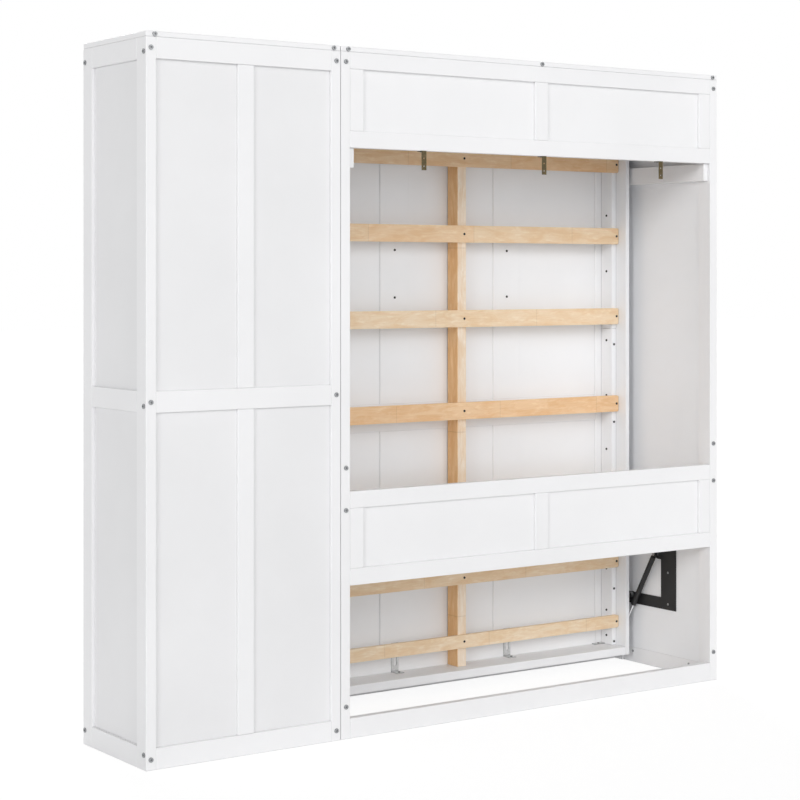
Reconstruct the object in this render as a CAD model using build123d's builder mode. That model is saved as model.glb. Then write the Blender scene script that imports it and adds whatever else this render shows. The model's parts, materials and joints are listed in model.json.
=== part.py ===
"""Murphy wall bed with a wardrobe beside it, seen from behind as it ships.

Millimetres, +Z up, the wall is at +Y and the room at -Y. The wardrobe is at +X.
Depths are measured from the back plane of the cabinets towards the room.
"""

from build123d import *
from math import cos, radians, sin
import os

os.makedirs("parts", exist_ok=True)

# Overall sizes, the mattress sets the width of the bed unit
HEIGHT = 2060
TOP_T = 16
CARCASS = HEIGHT - TOP_T
WARD_W = 646
WARD_D = 395
BED_D = 507
UNIT_GAP = 2
MATTRESS_HALF = 686
BED_RAIL_T = 16
MECHANISM_GAP = 32
POST_X = 32
POST_Y = 57
BED_W = 2 * (MATTRESS_HALF + BED_RAIL_T + MECHANISM_GAP + POST_X)

# Framing
RAIL_H = 60
RAIL_T = 25
TONGUE = 8
TONGUE_END = 0.5
BACK_RECESS = 10
BACK_PANEL_T = 9
SIDE_RECESS = 10
SIDE_PANEL_T = 12
BED_SIDE_T = 19
MID_DROP = 27
MID_Z = CARCASS / 2 - MID_DROP
EASE = 1.2
TOP_EASE = 2

# Fasteners
HEAD_R = 7
HEAD_T = 3
BOLT_R = 3
BOLT_HOLE_R = 3.2
SCREW_HEAD_R = 4
SCREW_HEAD_T = 1.5
SCREW_R = 2
SCREW_HOLE_R = 2.1
WARD_BOLT_L = 97
BED_BOLT_L = 90
SIDE_BOLT_L = 75
TOP_BOLT_L = 50
DRILL_PAST = 1
SOCKET_R = 3.4
SOCKET_DEEP = 2

# Pull handles
HANDLE_OUT = 32
HANDLE_R = 5.5
HANDLE_PITCH = 158
HANDLE_BEND = 11

# Places that follow from the sizes above
Y_BACK = (BED_D + HANDLE_OUT - HEAD_T) / 2
X_END = (WARD_W + UNIT_GAP + BED_W) / 2
WARD_X1 = X_END
WARD_X0 = X_END - WARD_W
BED_X1 = WARD_X0 - UNIT_GAP
BED_X0 = -X_END
BED_MID = (BED_X0 + BED_X1) / 2
BAY_HALF = BED_W / 2 - POST_X
WARD_MID = (WARD_X0 + WARD_X1) / 2

# Folding bed, half widths are from the middle of the bed unit
BED_Z0 = 34
BED_TOP_GAP = 8
BED_Z1 = CARCASS - BED_TOP_GAP
BED_L = BED_Z1 - BED_Z0
FRONT_T = 22
FRONT_GAP = 4
FRONT_HALF = BAY_HALF - FRONT_GAP
FRONT_IN = BED_D - FRONT_T
FRONT_STILE = 92
MULLION_X = 0.344 * MATTRESS_HALF
MULLION_W = 116
FRONT_MID_Z = BED_Z0 + 0.4136 * BED_L
FRONT_MID_H = 90
FRONT_PANEL_T = 12
FRONT_PANEL_IN = 4
BED_RAIL_D = 110
RAIL_BACK = FRONT_IN - BED_RAIL_D
LEDGER_W = 20
LEDGER_D = 57
SLAT_FACE = FRONT_IN - LEDGER_D
SLAT_T = 14
SLAT_H = 57
LOW_SLAT_H = 44
SLAT_Z = [BED_Z0 + at * BED_L for at in (0.868, 0.741, 0.599, 0.444, 0.305)]
LOW_SLAT_Z = [BED_Z0 + at * BED_L for at in (0.164, 0.057)]
END_T = 28
BEAM_W = 36

# Lifting mechanism: pivot, strut arm length and the two strut angles about the pivot
PIVOT_IN = 25
PIVOT_D = RAIL_BACK + PIVOT_IN
PIVOT_Z = 240
ARM = 210
UPPER_ANGLE = 40
SPAN_ANGLE = 160
LOWER_ANGLE = UPPER_ANGLE + SPAN_ANGLE - 180
PLATE_T = 4
PANEL_SET = 7
PANEL_IN = BAY_HALF + PANEL_SET
CAB_PLATE = PANEL_IN - PLATE_T
RAIL_OUT = MATTRESS_HALF + BED_RAIL_T
BED_PLATE = RAIL_OUT + PLATE_T
STRUT_U = (CAB_PLATE + BED_PLATE) / 2
EYE_T = 9
EYE_R = 9
STUD_R = 4
PIN_R = 7
PIN_END = 0.5
COLLAR_R = 10
COLLAR_L = 12
BOSS_R = 11
PLATE_EYE_R = 13
PLATE_END_R = 12
STUD_COLLAR_R = 7
CLIP_R = 6
CLIP_T = 1.5
RUN_FIT = 0.05
TUBE_R = 9
TUBE_IN_R = 7.4
ROD_R = 4
GLAND_R = 4.6
PISTON_R = 7
CLOSED_L = 2 * ARM * sin(radians((SPAN_ANGLE - 90) / 2))
TUBE_L = CLOSED_L - 20
ROD_L = CLOSED_L - 23
NECK_FROM = 6
TUBE_FROM = 12
TUBE_END_T = 6
GLAND_L = 10
PISTON_L = 8

UPPER_D = PIVOT_D - ARM * sin(radians(UPPER_ANGLE))
UPPER_Z = PIVOT_Z + ARM * cos(radians(UPPER_ANGLE))
LOWER_D = PIVOT_D + ARM * sin(radians(LOWER_ANGLE))
LOWER_Z = PIVOT_Z - ARM * cos(radians(LOWER_ANGLE))

# Bracket plate on the side panel: upright, foot arm, tab for the upper stud
BRACKET_D = PIVOT_D - 188
BRACKET_W = 74
BRACKET_Z = PIVOT_Z + 100
BRACKET_H = 260
FOOT_Z = PIVOT_Z - 10
FOOT_H = 40
TAB_R = 18
FOOT_END_R = 12

# Fold-out leg
LEG_R = 8
LEG_IN = 266
LEG_HALF = MATTRESS_HALF - LEG_IN
LEG_OFF = 16
LEG_Z = BED_Z1 - FRONT_STILE / 2
LEG_FLOOR_GAP = 2
LEG_L = PIVOT_Z - (BED_D + LEG_OFF - PIVOT_D) - LEG_FLOOR_GAP
LEG_PAST = 7
LEG_BEND = 30
LEG_PIN_R = 4
LEG_BASE_W = 52
LEG_BASE_H = 44
LEG_BASE_T = 3
CHEEK_T = 3
CHEEK_H = 20
CHEEK_PAST = 8
CHEEK_GAP = 1

# Wardrobe doors
DOOR_GAP = 3
DOOR_T = 20
DOOR_STILE = 55
DOOR_W = (WARD_W - 2 * POST_X - 3 * DOOR_GAP) / 2
DOOR_Z0 = RAIL_H + DOOR_GAP
DOOR_Z1 = CARCASS - RAIL_H - DOOR_GAP
LEAF_T = 1.4
KNUCKLE_R = 4
HINGE_PIN_R = 2.2
HINGE_OUT = 4.5
HINGE_Z = (200, CARCASS / 2, CARCASS - 200)
HINGE_H = 70
LEAF_IN = 1
KNUCKLE_GAP = 0.2
KNUCKLE_ROOM = 6
DOOR_HANDLE_Z = MID_Z + 105

# Open back of the bed unit: base rail, middle frame and header frame, spans in height
BACK_RAIL_H = 50
MIDDLE_Z0 = 455
MIDDLE_Z1 = 735
HEADER_Z0 = CARCASS - 285
BED_BACK_Z = (
    (0, RAIL_H),
    (MIDDLE_Z0, MIDDLE_Z0 + BACK_RAIL_H),
    (MIDDLE_Z1 - BACK_RAIL_H, MIDDLE_Z1),
    (HEADER_Z0, HEADER_Z0 + BACK_RAIL_H),
    (CARCASS - BACK_RAIL_H, CARCASS),
)
INFILL_Z = (
    (MIDDLE_Z0 + BACK_RAIL_H, MIDDLE_Z1 - BACK_RAIL_H),
    (HEADER_Z0 + BACK_RAIL_H, CARCASS - BACK_RAIL_H),
)

# Bolt positions: across X and up Z on the back plane
WARD_BOLT_Z = (CARCASS - RAIL_H / 2, MID_Z + RAIL_H / 2, RAIL_H / 2)
BED_BOLT_Z = (CARCASS - RAIL_H / 2, MIDDLE_Z1 + 71, MIDDLE_Z1 - 55, 96)
WARD_BOLT_IN = 15
BED_BOLT_IN = 17
WARD_BOLT_X = (WARD_X1 - WARD_BOLT_IN, WARD_X0 + WARD_BOLT_IN)
BED_BOLT_X = (BED_X1 - BED_BOLT_IN, BED_X0 + BED_BOLT_IN)
WARD_BACK_BOLTS = [(x, z) for x in WARD_BOLT_X for z in WARD_BOLT_Z]
BED_BACK_BOLTS = [(x, z) for x in BED_BOLT_X for z in BED_BOLT_Z]
PANEL_SCREW_L = 12
FLOOR_SCREW_Z = RAIL_H / 2 + 8
FLOOR_SCREWS = ((113, FLOOR_SCREW_Z), (BED_D - 107, FLOOR_SCREW_Z))
TOP_BOLT_X = (WARD_X1 - 27, WARD_X0 + 24, BED_X1 - 25, BED_MID, BED_X0 + 21)
TOP_BOLTS = [(x, CARCASS + TOP_T / 2) for x in TOP_BOLT_X]
# Screw positions of the mechanism brackets, depth and height
BRACKET_SCREWS = (
    (BRACKET_D, BRACKET_Z + 100),
    (BRACKET_D, BRACKET_Z),
    (BRACKET_D, FOOT_Z),
)
# Bolt positions: depth and height on the outer sides
SIDE_BOLT_D = RAIL_T / 2
SIDE_BOLT_TOP = CARCASS - 41
SIDE_BOLT_FOOT = 43
WARD_SIDE_BOLTS = [(SIDE_BOLT_D, z) for z in (SIDE_BOLT_TOP, MID_Z + 19, SIDE_BOLT_FOOT)]
WARD_SIDE_BOLTS += [(WARD_D - SIDE_BOLT_D, z) for z in (SIDE_BOLT_TOP, SIDE_BOLT_FOOT)]
BED_SIDE_BOLTS = [(SIDE_BOLT_D, (z0 + z1) / 2) for z0, z1 in BED_BACK_Z]
LINK_Z = (112, CARCASS / 2 + 98, CARCASS - 144)
LINK_D = 42
SPACER_R = 9


def board(x0, x1, d0, d1, z0, z1):
    """A straight board between two X values, two depths and two heights."""
    with Locations(((x0 + x1) / 2, Y_BACK - (d0 + d1) / 2, (z0 + z1) / 2)):
        Box(abs(x1 - x0), d1 - d0, z1 - z0)


def groove(x0, x1, d0, d1, z0, z1):
    """A slot that takes the edge of a panel."""
    with Locations(((x0 + x1) / 2, Y_BACK - (d0 + d1) / 2, (z0 + z1) / 2)):
        Box(abs(x1 - x0), d1 - d0, z1 - z0, mode=Mode.SUBTRACT)


def back_plane(depth=0):
    """Plane facing the room at a depth, with X across and Z up."""
    return Plane.XZ.offset(depth - Y_BACK)


def side_plane(x):
    """Plane square to X, with Y across and Z up."""
    return Plane.YZ.offset(x)


def discs(plane, spots, radius, length, mode=Mode.ADD):
    """Round bars or round holes of one size that start on a plane."""
    with BuildSketch(plane) as round_spots:
        with Locations(*spots):
            Circle(radius)
    extrude(round_spots.sketch, amount=length, mode=mode)


def drill_back(spots, length, radius=BOLT_HOLE_R, depth=0):
    discs(back_plane(depth), spots, radius, length, Mode.SUBTRACT)


def drill_side(x, spots, length, radius=BOLT_HOLE_R):
    discs(side_plane(x), [(Y_BACK - d, z) for d, z in spots], radius, length, Mode.SUBTRACT)


def bolts(plane, spots, length, outward):
    """Socket head bolts, shank along the plane's normal unless outward is +1."""
    discs(plane, spots, HEAD_R, outward * HEAD_T)
    discs(plane, spots, BOLT_R, -outward * length)
    with BuildSketch(plane.offset(outward * HEAD_T)) as sockets:
        with Locations(*spots):
            RegularPolygon(radius=SOCKET_R, side_count=6)
    extrude(sockets.sketch, amount=-outward * SOCKET_DEEP, mode=Mode.SUBTRACT)


def screws(plane, spots, length, outward):
    """Small pan head wood screws."""
    discs(plane, spots, SCREW_HEAD_R, outward * SCREW_HEAD_T)
    discs(plane, spots, SCREW_R, -outward * length)


def u_x(side, u):
    """X of a point that lies u from the middle of the bed, on side +1 or -1."""
    return BED_MID + side * u


def finish(part, name):
    part.part.label = name
    export_step(part.part, f"parts/{name}.step")


# Wardrobe carcass
with BuildPart() as wardrobe_posts:
    for x0 in (WARD_X0, WARD_X1 - POST_X):
        for d0 in (0, WARD_D - POST_Y):
            board(x0, x0 + POST_X, d0, d0 + POST_Y, 0, CARCASS)
    chamfer(wardrobe_posts.edges(), EASE)
    for z0, z1 in ((RAIL_H, MID_Z), (MID_Z + RAIL_H, CARCASS - RAIL_H)):
        for x0 in (WARD_X0 + POST_X - TONGUE, WARD_X1 - POST_X):
            x1 = x0 + TONGUE
            groove(x0, x1, BACK_RECESS, BACK_RECESS + BACK_PANEL_T, z0 - TONGUE, z1 + TONGUE)
        for x0 in (WARD_X0 + SIDE_RECESS, WARD_X1 - SIDE_RECESS - SIDE_PANEL_T):
            for d0 in (POST_Y - TONGUE, WARD_D - POST_Y):
                groove(x0, x0 + SIDE_PANEL_T, d0, d0 + TONGUE, z0 - TONGUE, z1 + TONGUE)
    drill_back(WARD_BACK_BOLTS, WARD_BOLT_L + DRILL_PAST)
    drill_side(WARD_X1, WARD_SIDE_BOLTS, -SIDE_BOLT_L - DRILL_PAST)
    drill_side(WARD_X0, [(LINK_D, z) for z in LINK_Z], POST_X)
finish(wardrobe_posts, "wardrobe_posts")

with BuildPart() as wardrobe_side_rails:
    for x0 in (WARD_X0, WARD_X1 - POST_X):
        for z0 in (0, MID_Z, CARCASS - RAIL_H):
            board(x0, x0 + POST_X, POST_Y, WARD_D - POST_Y, z0, z0 + RAIL_H)
    chamfer(wardrobe_side_rails.edges(), EASE)
    for x0 in (WARD_X0 + SIDE_RECESS, WARD_X1 - SIDE_RECESS - SIDE_PANEL_T):
        for z0 in (RAIL_H - TONGUE, MID_Z, MID_Z + RAIL_H - TONGUE, CARCASS - RAIL_H):
            groove(x0, x0 + SIDE_PANEL_T, POST_Y, WARD_D - POST_Y, z0, z0 + TONGUE)
    drill_back(WARD_BACK_BOLTS, WARD_BOLT_L + DRILL_PAST)
finish(wardrobe_side_rails, "wardrobe_side_rails")

with BuildPart() as wardrobe_side_panels:
    reach = TONGUE - TONGUE_END
    for x0 in (WARD_X0 + SIDE_RECESS, WARD_X1 - SIDE_RECESS - SIDE_PANEL_T):
        for z0, z1 in ((RAIL_H, MID_Z), (MID_Z + RAIL_H, CARCASS - RAIL_H)):
            board(x0, x0 + SIDE_PANEL_T, POST_Y - reach, WARD_D - POST_Y + reach, z0 - reach, z1 + reach)
finish(wardrobe_side_panels, "wardrobe_side_panels")

with BuildPart() as wardrobe_cross_rails:
    for z0 in (0, MID_Z, CARCASS - RAIL_H):
        board(WARD_X0 + POST_X, WARD_X1 - POST_X, 0, RAIL_T, z0, z0 + RAIL_H)
    for z0 in (0, CARCASS - RAIL_H):
        board(WARD_X0 + POST_X, WARD_X1 - POST_X, WARD_D - RAIL_T, WARD_D, z0, z0 + RAIL_H)
    chamfer(wardrobe_cross_rails.edges(), EASE)
    for z0 in (RAIL_H - TONGUE, MID_Z, MID_Z + RAIL_H - TONGUE, CARCASS - RAIL_H):
        groove(WARD_X0, WARD_X1, BACK_RECESS, BACK_RECESS + BACK_PANEL_T, z0, z0 + TONGUE)
    drill_side(WARD_X1, WARD_SIDE_BOLTS, -SIDE_BOLT_L - DRILL_PAST)
finish(wardrobe_cross_rails, "wardrobe_cross_rails")

WARD_MULLION = 53
MULLION_SET = 2
with BuildPart() as wardrobe_back_mullions:
    for z0, z1 in ((RAIL_H, MID_Z), (MID_Z + RAIL_H, CARCASS - RAIL_H)):
        board(WARD_MID - WARD_MULLION / 2, WARD_MID + WARD_MULLION / 2, MULLION_SET, RAIL_T, z0, z1)
    chamfer(wardrobe_back_mullions.edges(), EASE)
    for x0 in (WARD_MID - WARD_MULLION / 2, WARD_MID + WARD_MULLION / 2 - TONGUE):
        groove(x0, x0 + TONGUE, BACK_RECESS, BACK_RECESS + BACK_PANEL_T, 0, CARCASS)
finish(wardrobe_back_mullions, "wardrobe_back_mullions")

with BuildPart() as wardrobe_back_panels:
    reach = TONGUE - TONGUE_END
    for z0, z1 in ((RAIL_H, MID_Z), (MID_Z + RAIL_H, CARCASS - RAIL_H)):
        for x0, x1 in (
            (WARD_X0 + POST_X, WARD_MID - WARD_MULLION / 2),
            (WARD_MID + WARD_MULLION / 2, WARD_X1 - POST_X),
        ):
            d1 = BACK_RECESS + BACK_PANEL_T
            board(x0 - reach, x1 + reach, BACK_RECESS, d1, z0 - reach, z1 + reach)
finish(wardrobe_back_panels, "wardrobe_back_panels")

SHELF_T = 16
with BuildPart() as wardrobe_shelves:
    for z1 in (RAIL_H, MID_Z + RAIL_H):
        board(WARD_X0 + POST_X, WARD_X1 - POST_X, RAIL_T, WARD_D - RAIL_T, z1 - SHELF_T, z1)
finish(wardrobe_shelves, "wardrobe_shelves")

with BuildPart() as wardrobe_top_board:
    board(WARD_X0, WARD_X1, 0, WARD_D, CARCASS, HEIGHT)
    chamfer(wardrobe_top_board.edges(), TOP_EASE)
    drill_back(TOP_BOLTS, TOP_BOLT_L + DRILL_PAST)
finish(wardrobe_top_board, "wardrobe_top_board")

# Hanging rail between two cups on the upper side panels
HANG_Z = CARCASS - 144
HANG_D = WARD_D / 2
HANG_R = 12.5
CUP_T = 6
CUP_R = 26
CUP_WALL = 4.5
CUP_DEEP = 20
CUP_FIT = 0.2
HANG_X0 = WARD_X0 + SIDE_RECESS + SIDE_PANEL_T
HANG_X1 = WARD_X1 - SIDE_RECESS - SIDE_PANEL_T
with BuildPart() as wardrobe_rail_cups:
    spot = [(Y_BACK - HANG_D, HANG_Z)]
    for x, inward in ((HANG_X0, 1), (HANG_X1, -1)):
        discs(side_plane(x), spot, CUP_R, inward * CUP_T)
        discs(side_plane(x), spot, HANG_R + CUP_WALL, inward * CUP_DEEP)
        discs(side_plane(x + inward * CUP_T), spot, HANG_R + CUP_FIT, inward * CUP_DEEP, Mode.SUBTRACT)
finish(wardrobe_rail_cups, "wardrobe_rail_cups")

with BuildPart() as wardrobe_hanging_rail:
    spot = [(Y_BACK - HANG_D, HANG_Z)]
    discs(side_plane(HANG_X0 + CUP_T), spot, HANG_R, HANG_X1 - HANG_X0 - 2 * CUP_T)
finish(wardrobe_hanging_rail, "wardrobe_hanging_rail")


# Wardrobe doors, inset between the front posts, side -1 is next to the bed
def door_span(side):
    x_hinge = WARD_X0 + POST_X + DOOR_GAP if side < 0 else WARD_X1 - POST_X - DOOR_GAP
    return x_hinge, x_hinge - side * DOOR_W


KNUCKLE_CLEAR = 0.3
KNUCKLE_CUT = (WARD_D + KNUCKLE_CLEAR, WARD_D + HINGE_OUT + 2 * KNUCKLE_R)
KNUCKLE_H = HINGE_H / 3
DOOR_RAIL_Z = ((DOOR_Z0, DOOR_Z0 + RAIL_H), (MID_Z, MID_Z + RAIL_H), (DOOR_Z1 - RAIL_H, DOOR_Z1))
DOOR_IN = WARD_D - DOOR_T
DOOR_PANEL_T = 8
DOOR_PANEL_IN = 5
DOOR_SLOT = (DOOR_IN + DOOR_PANEL_IN, DOOR_IN + DOOR_PANEL_IN + DOOR_PANEL_T)
for side, name in ((-1, "left_door"), (1, "right_door")):
    hinge_x, free_x = door_span(side)
    inner_a = hinge_x - side * DOOR_STILE
    inner_b = free_x + side * DOOR_STILE

    with BuildPart() as door_stiles:
        board(hinge_x, inner_a, DOOR_IN, WARD_D, DOOR_Z0, DOOR_Z1)
        board(free_x, inner_b, DOOR_IN, WARD_D, DOOR_Z0, DOOR_Z1)
        chamfer(door_stiles.edges(), EASE)
        for (a0, a1), (b0, b1) in zip(DOOR_RAIL_Z, DOOR_RAIL_Z[1:]):
            for x0, x1 in ((inner_a, inner_a + side * TONGUE), (inner_b, inner_b - side * TONGUE)):
                groove(x0, x1, *DOOR_SLOT, a1 - TONGUE, b0 + TONGUE)
    finish(door_stiles, f"{name}_stiles")

    with BuildPart() as door_rails:
        for z0, z1 in DOOR_RAIL_Z:
            board(inner_a, inner_b, DOOR_IN, WARD_D, z0, z1)
        chamfer(door_rails.edges(), EASE)
        for (a0, a1), (b0, b1) in zip(DOOR_RAIL_Z, DOOR_RAIL_Z[1:]):
            groove(inner_a, inner_b, *DOOR_SLOT, a1 - TONGUE, a1)
            groove(inner_a, inner_b, *DOOR_SLOT, b0, b0 + TONGUE)
    finish(door_rails, f"{name}_rails")

    with BuildPart() as door_panels:
        reach = TONGUE - TONGUE_END
        for (a0, a1), (b0, b1) in zip(DOOR_RAIL_Z, DOOR_RAIL_Z[1:]):
            board(inner_a + side * reach, inner_b - side * reach, *DOOR_SLOT, a1 - reach, b0 + reach)
    finish(door_panels, f"{name}_panels")

    with BuildPart() as door_hinges:
        axis_x = hinge_x + side * DOOR_GAP / 2
        axis_y = Y_BACK - WARD_D - HINGE_OUT
        for z in HINGE_Z:
            z0 = z - HINGE_H / 2
            za, zb = z0 + KNUCKLE_H + KNUCKLE_GAP, z0 + 2 * KNUCKLE_H - KNUCKLE_GAP
            x0, x1 = axis_x - KNUCKLE_ROOM, axis_x + KNUCKLE_ROOM
            d0, d1 = DOOR_IN + LEAF_IN, WARD_D + HINGE_OUT
            board(hinge_x, hinge_x + side * LEAF_T, d0, d1, z0, z0 + HINGE_H)
            groove(x0, x1, *KNUCKLE_CUT, z0, za)
            groove(x0, x1, *KNUCKLE_CUT, zb, z0 + HINGE_H)
            discs(Plane.XY.offset(za), [(axis_x, axis_y)], KNUCKLE_R, zb - za)
            discs(Plane.XY.offset(za), [(axis_x, axis_y)], HINGE_PIN_R + RUN_FIT, zb - za, Mode.SUBTRACT)
    finish(door_hinges, f"{name}_hinge_leaves")

with BuildPart() as wardrobe_hinge_leaves:
    for side in (-1, 1):
        hinge_x, free_x = door_span(side)
        post_x = hinge_x + side * DOOR_GAP
        axis_x = hinge_x + side * DOOR_GAP / 2
        axis_y = Y_BACK - WARD_D - HINGE_OUT
        for z in HINGE_Z:
            z0 = z - HINGE_H / 2
            za, zb = z0 + KNUCKLE_H - KNUCKLE_GAP, z0 + 2 * KNUCKLE_H + KNUCKLE_GAP
            x0, x1 = axis_x - KNUCKLE_ROOM, axis_x + KNUCKLE_ROOM
            board(post_x - side * LEAF_T, post_x, DOOR_IN + LEAF_IN, WARD_D + HINGE_OUT, z0, z0 + HINGE_H)
            groove(x0, x1, *KNUCKLE_CUT, za, zb)
            for plane in (Plane.XY.offset(z0), Plane.XY.offset(zb)):
                discs(plane, [(axis_x, axis_y)], KNUCKLE_R, za - z0)
                discs(plane, [(axis_x, axis_y)], HINGE_PIN_R, za - z0, Mode.SUBTRACT)
finish(wardrobe_hinge_leaves, "wardrobe_hinge_leaves")

with BuildPart() as wardrobe_hinge_pins:
    for side in (-1, 1):
        hinge_x, free_x = door_span(side)
        axis = (hinge_x + side * DOOR_GAP / 2, Y_BACK - WARD_D - HINGE_OUT)
        for z in HINGE_Z:
            discs(Plane.XY.offset(z - HINGE_H / 2), [axis], HINGE_PIN_R, HINGE_H)
finish(wardrobe_hinge_pins, "wardrobe_hinge_pins")


# Bow handles, each bent from one round bar, feet on the face at the given depth
def bow_handle(x, depth, z_mid):
    bar = HANDLE_OUT - HANDLE_R
    half = HANDLE_PITCH / 2
    y_face = Y_BACK - depth
    with BuildLine() as path:
        Polyline(
            (x, y_face, z_mid - half),
            (x, y_face - bar, z_mid - half),
            (x, y_face - bar, z_mid + half),
            (x, y_face, z_mid + half),
        )
        fillet(path.vertices().filter_by(lambda v: v.Y < y_face - HANDLE_R), HANDLE_BEND)
    with BuildSketch(Plane(origin=(x, y_face, z_mid - half), x_dir=(1, 0, 0), z_dir=(0, -1, 0))) as section:
        Circle(HANDLE_R)
    sweep(section.sketch, path=path.wires()[0])


for side, name in ((-1, "left_door"), (1, "right_door")):
    hinge_x, free_x = door_span(side)
    with BuildPart() as door_handle:
        bow_handle(free_x + side * DOOR_STILE / 2, WARD_D, DOOR_HANDLE_Z)
    finish(door_handle, f"{name}_handle")

# Bed unit carcass
with BuildPart() as bed_unit_posts:
    for x0 in (BED_X0, BED_X1 - POST_X):
        for d0 in (0, BED_D - POST_Y):
            board(x0, x0 + POST_X, d0, d0 + POST_Y, 0, CARCASS)
    chamfer(bed_unit_posts.edges(), EASE)
    for side in (-1, 1):
        x0 = u_x(side, PANEL_IN)
        x1 = x0 + side * BED_SIDE_T
        for d0 in (POST_Y - TONGUE, BED_D - POST_Y):
            groove(x0, x1, d0, d0 + TONGUE, RAIL_H - TONGUE, CARCASS - RAIL_H + TONGUE)
    drill_back(BED_BACK_BOLTS, BED_BOLT_L + DRILL_PAST)
    drill_side(BED_X0, BED_SIDE_BOLTS, SIDE_BOLT_L + DRILL_PAST)
    drill_side(BED_X1 - POST_X, [(LINK_D, z) for z in LINK_Z], POST_X)
finish(bed_unit_posts, "bed_unit_posts")

with BuildPart() as bed_unit_side_rails:
    for side in (-1, 1):
        x0 = u_x(side, BED_W / 2)
        for inner, z0 in ((PANEL_IN, 0), (BAY_HALF, CARCASS - RAIL_H)):
            board(x0, u_x(side, inner), POST_Y, BED_D - POST_Y, z0, z0 + RAIL_H)
    chamfer(bed_unit_side_rails.edges(), EASE)
    for side in (-1, 1):
        x0 = u_x(side, PANEL_IN)
        for z0 in (RAIL_H - TONGUE, CARCASS - RAIL_H):
            groove(x0, x0 + side * BED_SIDE_T, POST_Y, BED_D - POST_Y, z0, z0 + TONGUE)
        drill_side(x0, FLOOR_SCREWS, side * (PANEL_SCREW_L + DRILL_PAST), SCREW_HOLE_R)
    drill_back(BED_BACK_BOLTS, BED_BOLT_L + DRILL_PAST)
finish(bed_unit_side_rails, "bed_unit_side_rails")

with BuildPart() as bed_unit_side_panels:
    reach = TONGUE - TONGUE_END
    for side in (-1, 1):
        x0 = u_x(side, PANEL_IN)
        d1 = BED_D - POST_Y + reach
        board(x0, x0 + side * BED_SIDE_T, POST_Y - reach, d1, RAIL_H - reach, CARCASS - RAIL_H + reach)
        drill_side(x0, BRACKET_SCREWS, side * (PANEL_SCREW_L + DRILL_PAST), SCREW_HOLE_R)
    drill_back(BED_BACK_BOLTS, BED_BOLT_L + DRILL_PAST)
finish(bed_unit_side_panels, "bed_unit_side_panels")

# Battens under the header that stiffen the side panels and lap over the back posts
BATTEN_T = 20
BATTEN_H = 59
BATTEN_D = 10
BATTEN_Z = HEADER_Z0 - BATTEN_H
with BuildPart() as side_battens:
    for side in (-1, 1):
        x0 = u_x(side, BAY_HALF)
        board(x0, x0 - side * BATTEN_T, BATTEN_D, BED_D - POST_Y, BATTEN_Z, HEADER_Z0)
    chamfer(side_battens.edges(), EASE)
    for side in (-1, 1):
        x0 = u_x(side, BAY_HALF - EASE)
        board(x0, u_x(side, PANEL_IN), POST_Y, BED_D - POST_Y - EASE, BATTEN_Z + EASE, HEADER_Z0 - EASE)
finish(side_battens, "side_battens")

with BuildPart() as bed_unit_top_board:
    board(BED_X0, BED_X1, 0, BED_D, CARCASS, HEIGHT)
    chamfer(bed_unit_top_board.edges(), TOP_EASE)
    drill_back(TOP_BOLTS, TOP_BOLT_L + DRILL_PAST)
finish(bed_unit_top_board, "bed_unit_top_board")

# Frames of the open back, with three wall brackets under the header
BAY_X0 = BED_X0 + POST_X
BAY_X1 = BED_X1 - POST_X
BACK_STILE = 49
BACK_MULLION = 51
STILE_SET = 1
WALL_X = [BED_MID + at * MATTRESS_HALF for at in (0.675, -0.013, -0.742)]
WALL_SCREW_D = 15
WALL_SCREW_L = 15
STILE_SPANS = (
    (BAY_X0, BAY_X0 + BACK_STILE),
    (BED_MID - BACK_MULLION / 2, BED_MID + BACK_MULLION / 2),
    (BAY_X1 - BACK_STILE, BAY_X1),
)
with BuildPart() as bed_back_rails:
    for z0, z1 in BED_BACK_Z:
        board(BAY_X0, BAY_X1, 0, RAIL_T, z0, z1)
    chamfer(bed_back_rails.edges(), EASE)
    for z0, z1 in INFILL_Z:
        for za in (z0 - TONGUE, z1):
            x0, x1 = STILE_SPANS[0][1] - TONGUE, STILE_SPANS[2][0] + TONGUE
            groove(x0, x1, BACK_RECESS, BACK_RECESS + BACK_PANEL_T, za, za + TONGUE)
    drill_side(BED_X0, BED_SIDE_BOLTS, SIDE_BOLT_L + DRILL_PAST)
    wall_spots = [(x, Y_BACK - WALL_SCREW_D) for x in WALL_X]
    discs(Plane.XY.offset(HEADER_Z0), wall_spots, SCREW_HOLE_R, WALL_SCREW_L + DRILL_PAST, Mode.SUBTRACT)
finish(bed_back_rails, "bed_back_rails")

with BuildPart() as bed_back_stiles:
    for z0, z1 in INFILL_Z:
        for x0, x1 in STILE_SPANS:
            board(x0, x1, STILE_SET, RAIL_T, z0, z1)
    chamfer(bed_back_stiles.edges(), EASE)
    for (a0, a1), (b0, b1) in zip(STILE_SPANS, STILE_SPANS[1:]):
        groove(a1 - TONGUE, a1, BACK_RECESS, BACK_RECESS + BACK_PANEL_T, 0, CARCASS)
        groove(b0, b0 + TONGUE, BACK_RECESS, BACK_RECESS + BACK_PANEL_T, 0, CARCASS)
finish(bed_back_stiles, "bed_back_stiles")

with BuildPart() as bed_back_panels:
    reach = TONGUE - TONGUE_END
    for z0, z1 in INFILL_Z:
        for (a0, a1), (b0, b1) in zip(STILE_SPANS, STILE_SPANS[1:]):
            d1 = BACK_RECESS + BACK_PANEL_T
            board(a1 - reach, b0 + reach, BACK_RECESS, d1, z0 - reach, z1 + reach)
finish(bed_back_panels, "bed_back_panels")

KICK_H = 20
KICK_T = 18
with BuildPart() as toe_kick:
    board(BAY_X0, BAY_X1, BED_D - KICK_T, BED_D, 0, KICK_H)
    chamfer(toe_kick.edges(), EASE)
finish(toe_kick, "toe_kick")

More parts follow.
